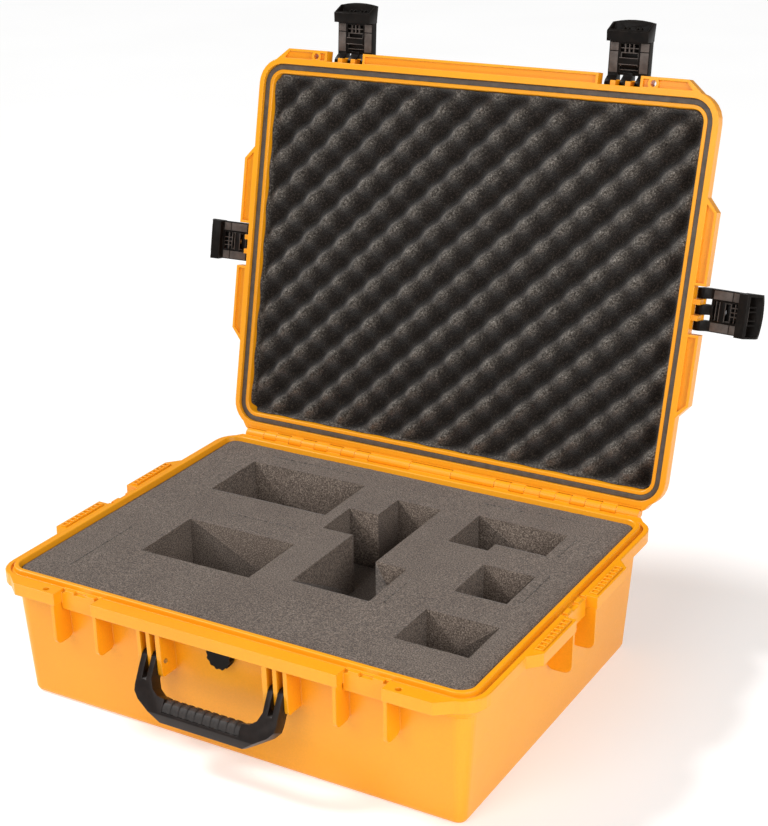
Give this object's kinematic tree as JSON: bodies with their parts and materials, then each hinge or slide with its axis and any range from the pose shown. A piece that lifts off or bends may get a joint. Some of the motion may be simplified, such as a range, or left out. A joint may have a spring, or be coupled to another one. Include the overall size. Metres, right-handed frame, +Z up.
{
  "type": "hard equipment case",
  "caption": "Hard protective equipment case with a hinged gasketed lid, swing latches, a folding front handle and pocketed foam.",
  "frame": {"origin": "centre of the underside, on the surface that the case stands on", "axes": "+Z up, -Y towards the front with the handle, +X to the right seen from the front; the lid is open"},
  "size_m": [0.7438, 0.6696, 0.6876],
  "materials": {
    "shell": "satin moulded copolymer with a fine grain",
    "black": "satin dark brown-black moulded plastic",
    "grip": "soft ribbed overmould",
    "rubber": "matt seal rubber",
    "steel": "plain stainless wire and pin",
    "foam": "open-cell polyurethane foam, matt and grainy",
    "lid_foam": "waved open-cell foam, near black"
  },
  "bodies": {
    "base": {"base_shell": "shell", "hinge_pin_left": "steel", "hinge_pin_right": "steel", "handle_pin_left": "steel", "handle_pin_right": "steel", "valve_body": "black", "valve_cap": "black", "valve_nut": "black", "valve_seal": "rubber", "foam_base_pad": "foam", "foam_lower_layer": "foam", "foam_top_layer": "foam"},
    "lid": {"lid_shell": "shell", "lid_gasket": "rubber", "lid_foam": "lid_foam", "latch_pin_front_left": "steel", "latch_pin_front_right": "steel", "latch_pin_side_left": "steel", "latch_pin_side_right": "steel"},
    "handle": {"handle_frame": "black", "handle_grip": "grip"},
    "latch_front_left": {"latch_front_left": "black", "latch_spring_front_left": "steel"},
    "button_front_left": {"latch_button_front_left": "black"},
    "latch_front_right": {"latch_front_right": "black", "latch_spring_front_right": "steel"},
    "button_front_right": {"latch_button_front_right": "black"},
    "latch_side_left": {"latch_side_left": "black", "latch_spring_side_left": "steel"},
    "button_side_left": {"latch_button_side_left": "black"},
    "latch_side_right": {"latch_side_right": "black", "latch_spring_side_right": "steel"},
    "button_side_right": {"latch_button_side_right": "black"}
  },
  "joints": [
    {"name": "lid_hinge", "type": "hinge", "parent": "base", "child": "lid", "pos_m": [0, 0.2432, 0.15615], "axis": [1, 0, 0], "range_deg": [0, 102.2]},
    {"name": "handle_hinge", "type": "hinge", "parent": "base", "child": "handle", "pos_m": [0, -0.237, 0.108], "axis": [-1, 0, 0], "range_deg": [0, 64]},
    {"name": "latch_front_left_hinge", "type": "hinge", "parent": "lid", "child": "latch_front_left", "pos_m": [-0.17745, 0.36729, 0.61959], "axis": [1, 0, 0], "range_deg": [0, 81.4]},
    {"name": "button_front_left_press", "type": "slide", "parent": "latch_front_left", "child": "button_front_left", "axis": [0, -0.998, 0.0628], "range_m": [0, 0.0015], "stiffness_N_per_m": 400, "springref_m": -0.0005, "deforming": ["latch_spring_front_left"]},
    {"name": "latch_front_right_hinge", "type": "hinge", "parent": "lid", "child": "latch_front_right", "pos_m": [0.17745, 0.36729, 0.61959], "axis": [1, 0, 0], "range_deg": [0, 81.4]},
    {"name": "button_front_right_press", "type": "slide", "parent": "latch_front_right", "child": "button_front_right", "axis": [0, -0.998, 0.0628], "range_m": [0, 0.0015], "stiffness_N_per_m": 400, "springref_m": -0.0005, "deforming": ["latch_spring_front_right"]},
    {"name": "latch_side_left_hinge", "type": "hinge", "parent": "lid", "child": "latch_side_left", "pos_m": [-0.3015, 0.31742, 0.38892], "axis": [0, 0.2113, 0.9774], "range_deg": [0, 81.4]},
    {"name": "button_side_left_press", "type": "slide", "parent": "latch_side_left", "child": "button_side_left", "axis": [0.1495, -0.9664, 0.2089], "range_m": [0, 0.0015], "stiffness_N_per_m": 400, "springref_m": -0.0005, "deforming": ["latch_spring_side_left"]},
    {"name": "latch_side_right_hinge", "type": "hinge", "parent": "lid", "child": "latch_side_right", "pos_m": [0.3015, 0.31742, 0.38892], "axis": [0, -0.2113, -0.9774], "range_deg": [0, 81.4]},
    {"name": "button_side_right_press", "type": "slide", "parent": "latch_side_right", "child": "button_side_right", "axis": [-0.1495, -0.9664, 0.2089], "range_m": [0, 0.0015], "stiffness_N_per_m": 400, "springref_m": -0.0005, "deforming": ["latch_spring_side_right"]}
  ]
}
